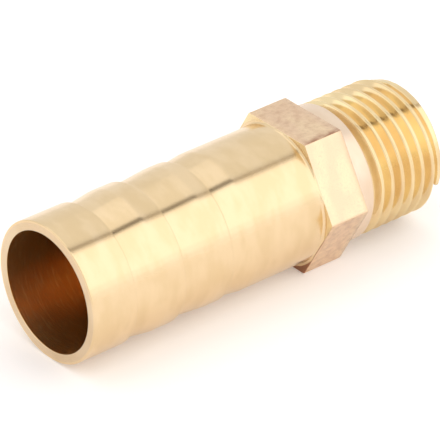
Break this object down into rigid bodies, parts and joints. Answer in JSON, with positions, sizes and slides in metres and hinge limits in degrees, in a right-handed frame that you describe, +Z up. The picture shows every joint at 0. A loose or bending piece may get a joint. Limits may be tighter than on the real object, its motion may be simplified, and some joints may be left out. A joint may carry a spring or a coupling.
{
  "type": "hose barb tail",
  "caption": "Brass hose tail fitting: open barbed tube, spanner hexagon, short neck and parallel pipe thread, bored right through.",
  "frame": {"origin": "centre of the tail's open end, on the bore's axis", "axes": "+X along the fitting's axis, from the open end of the tail to the end of the thread; +Z up, square to the two level flats of the hexagon"},
  "size_m": [0.0303, 0.0114, 0.01],
  "materials": {
    "brass": "bright turned brass, unplated"
  },
  "bodies": {
    "root": {"hose_barb_tail": "brass"}
  },
  "joints": []
}
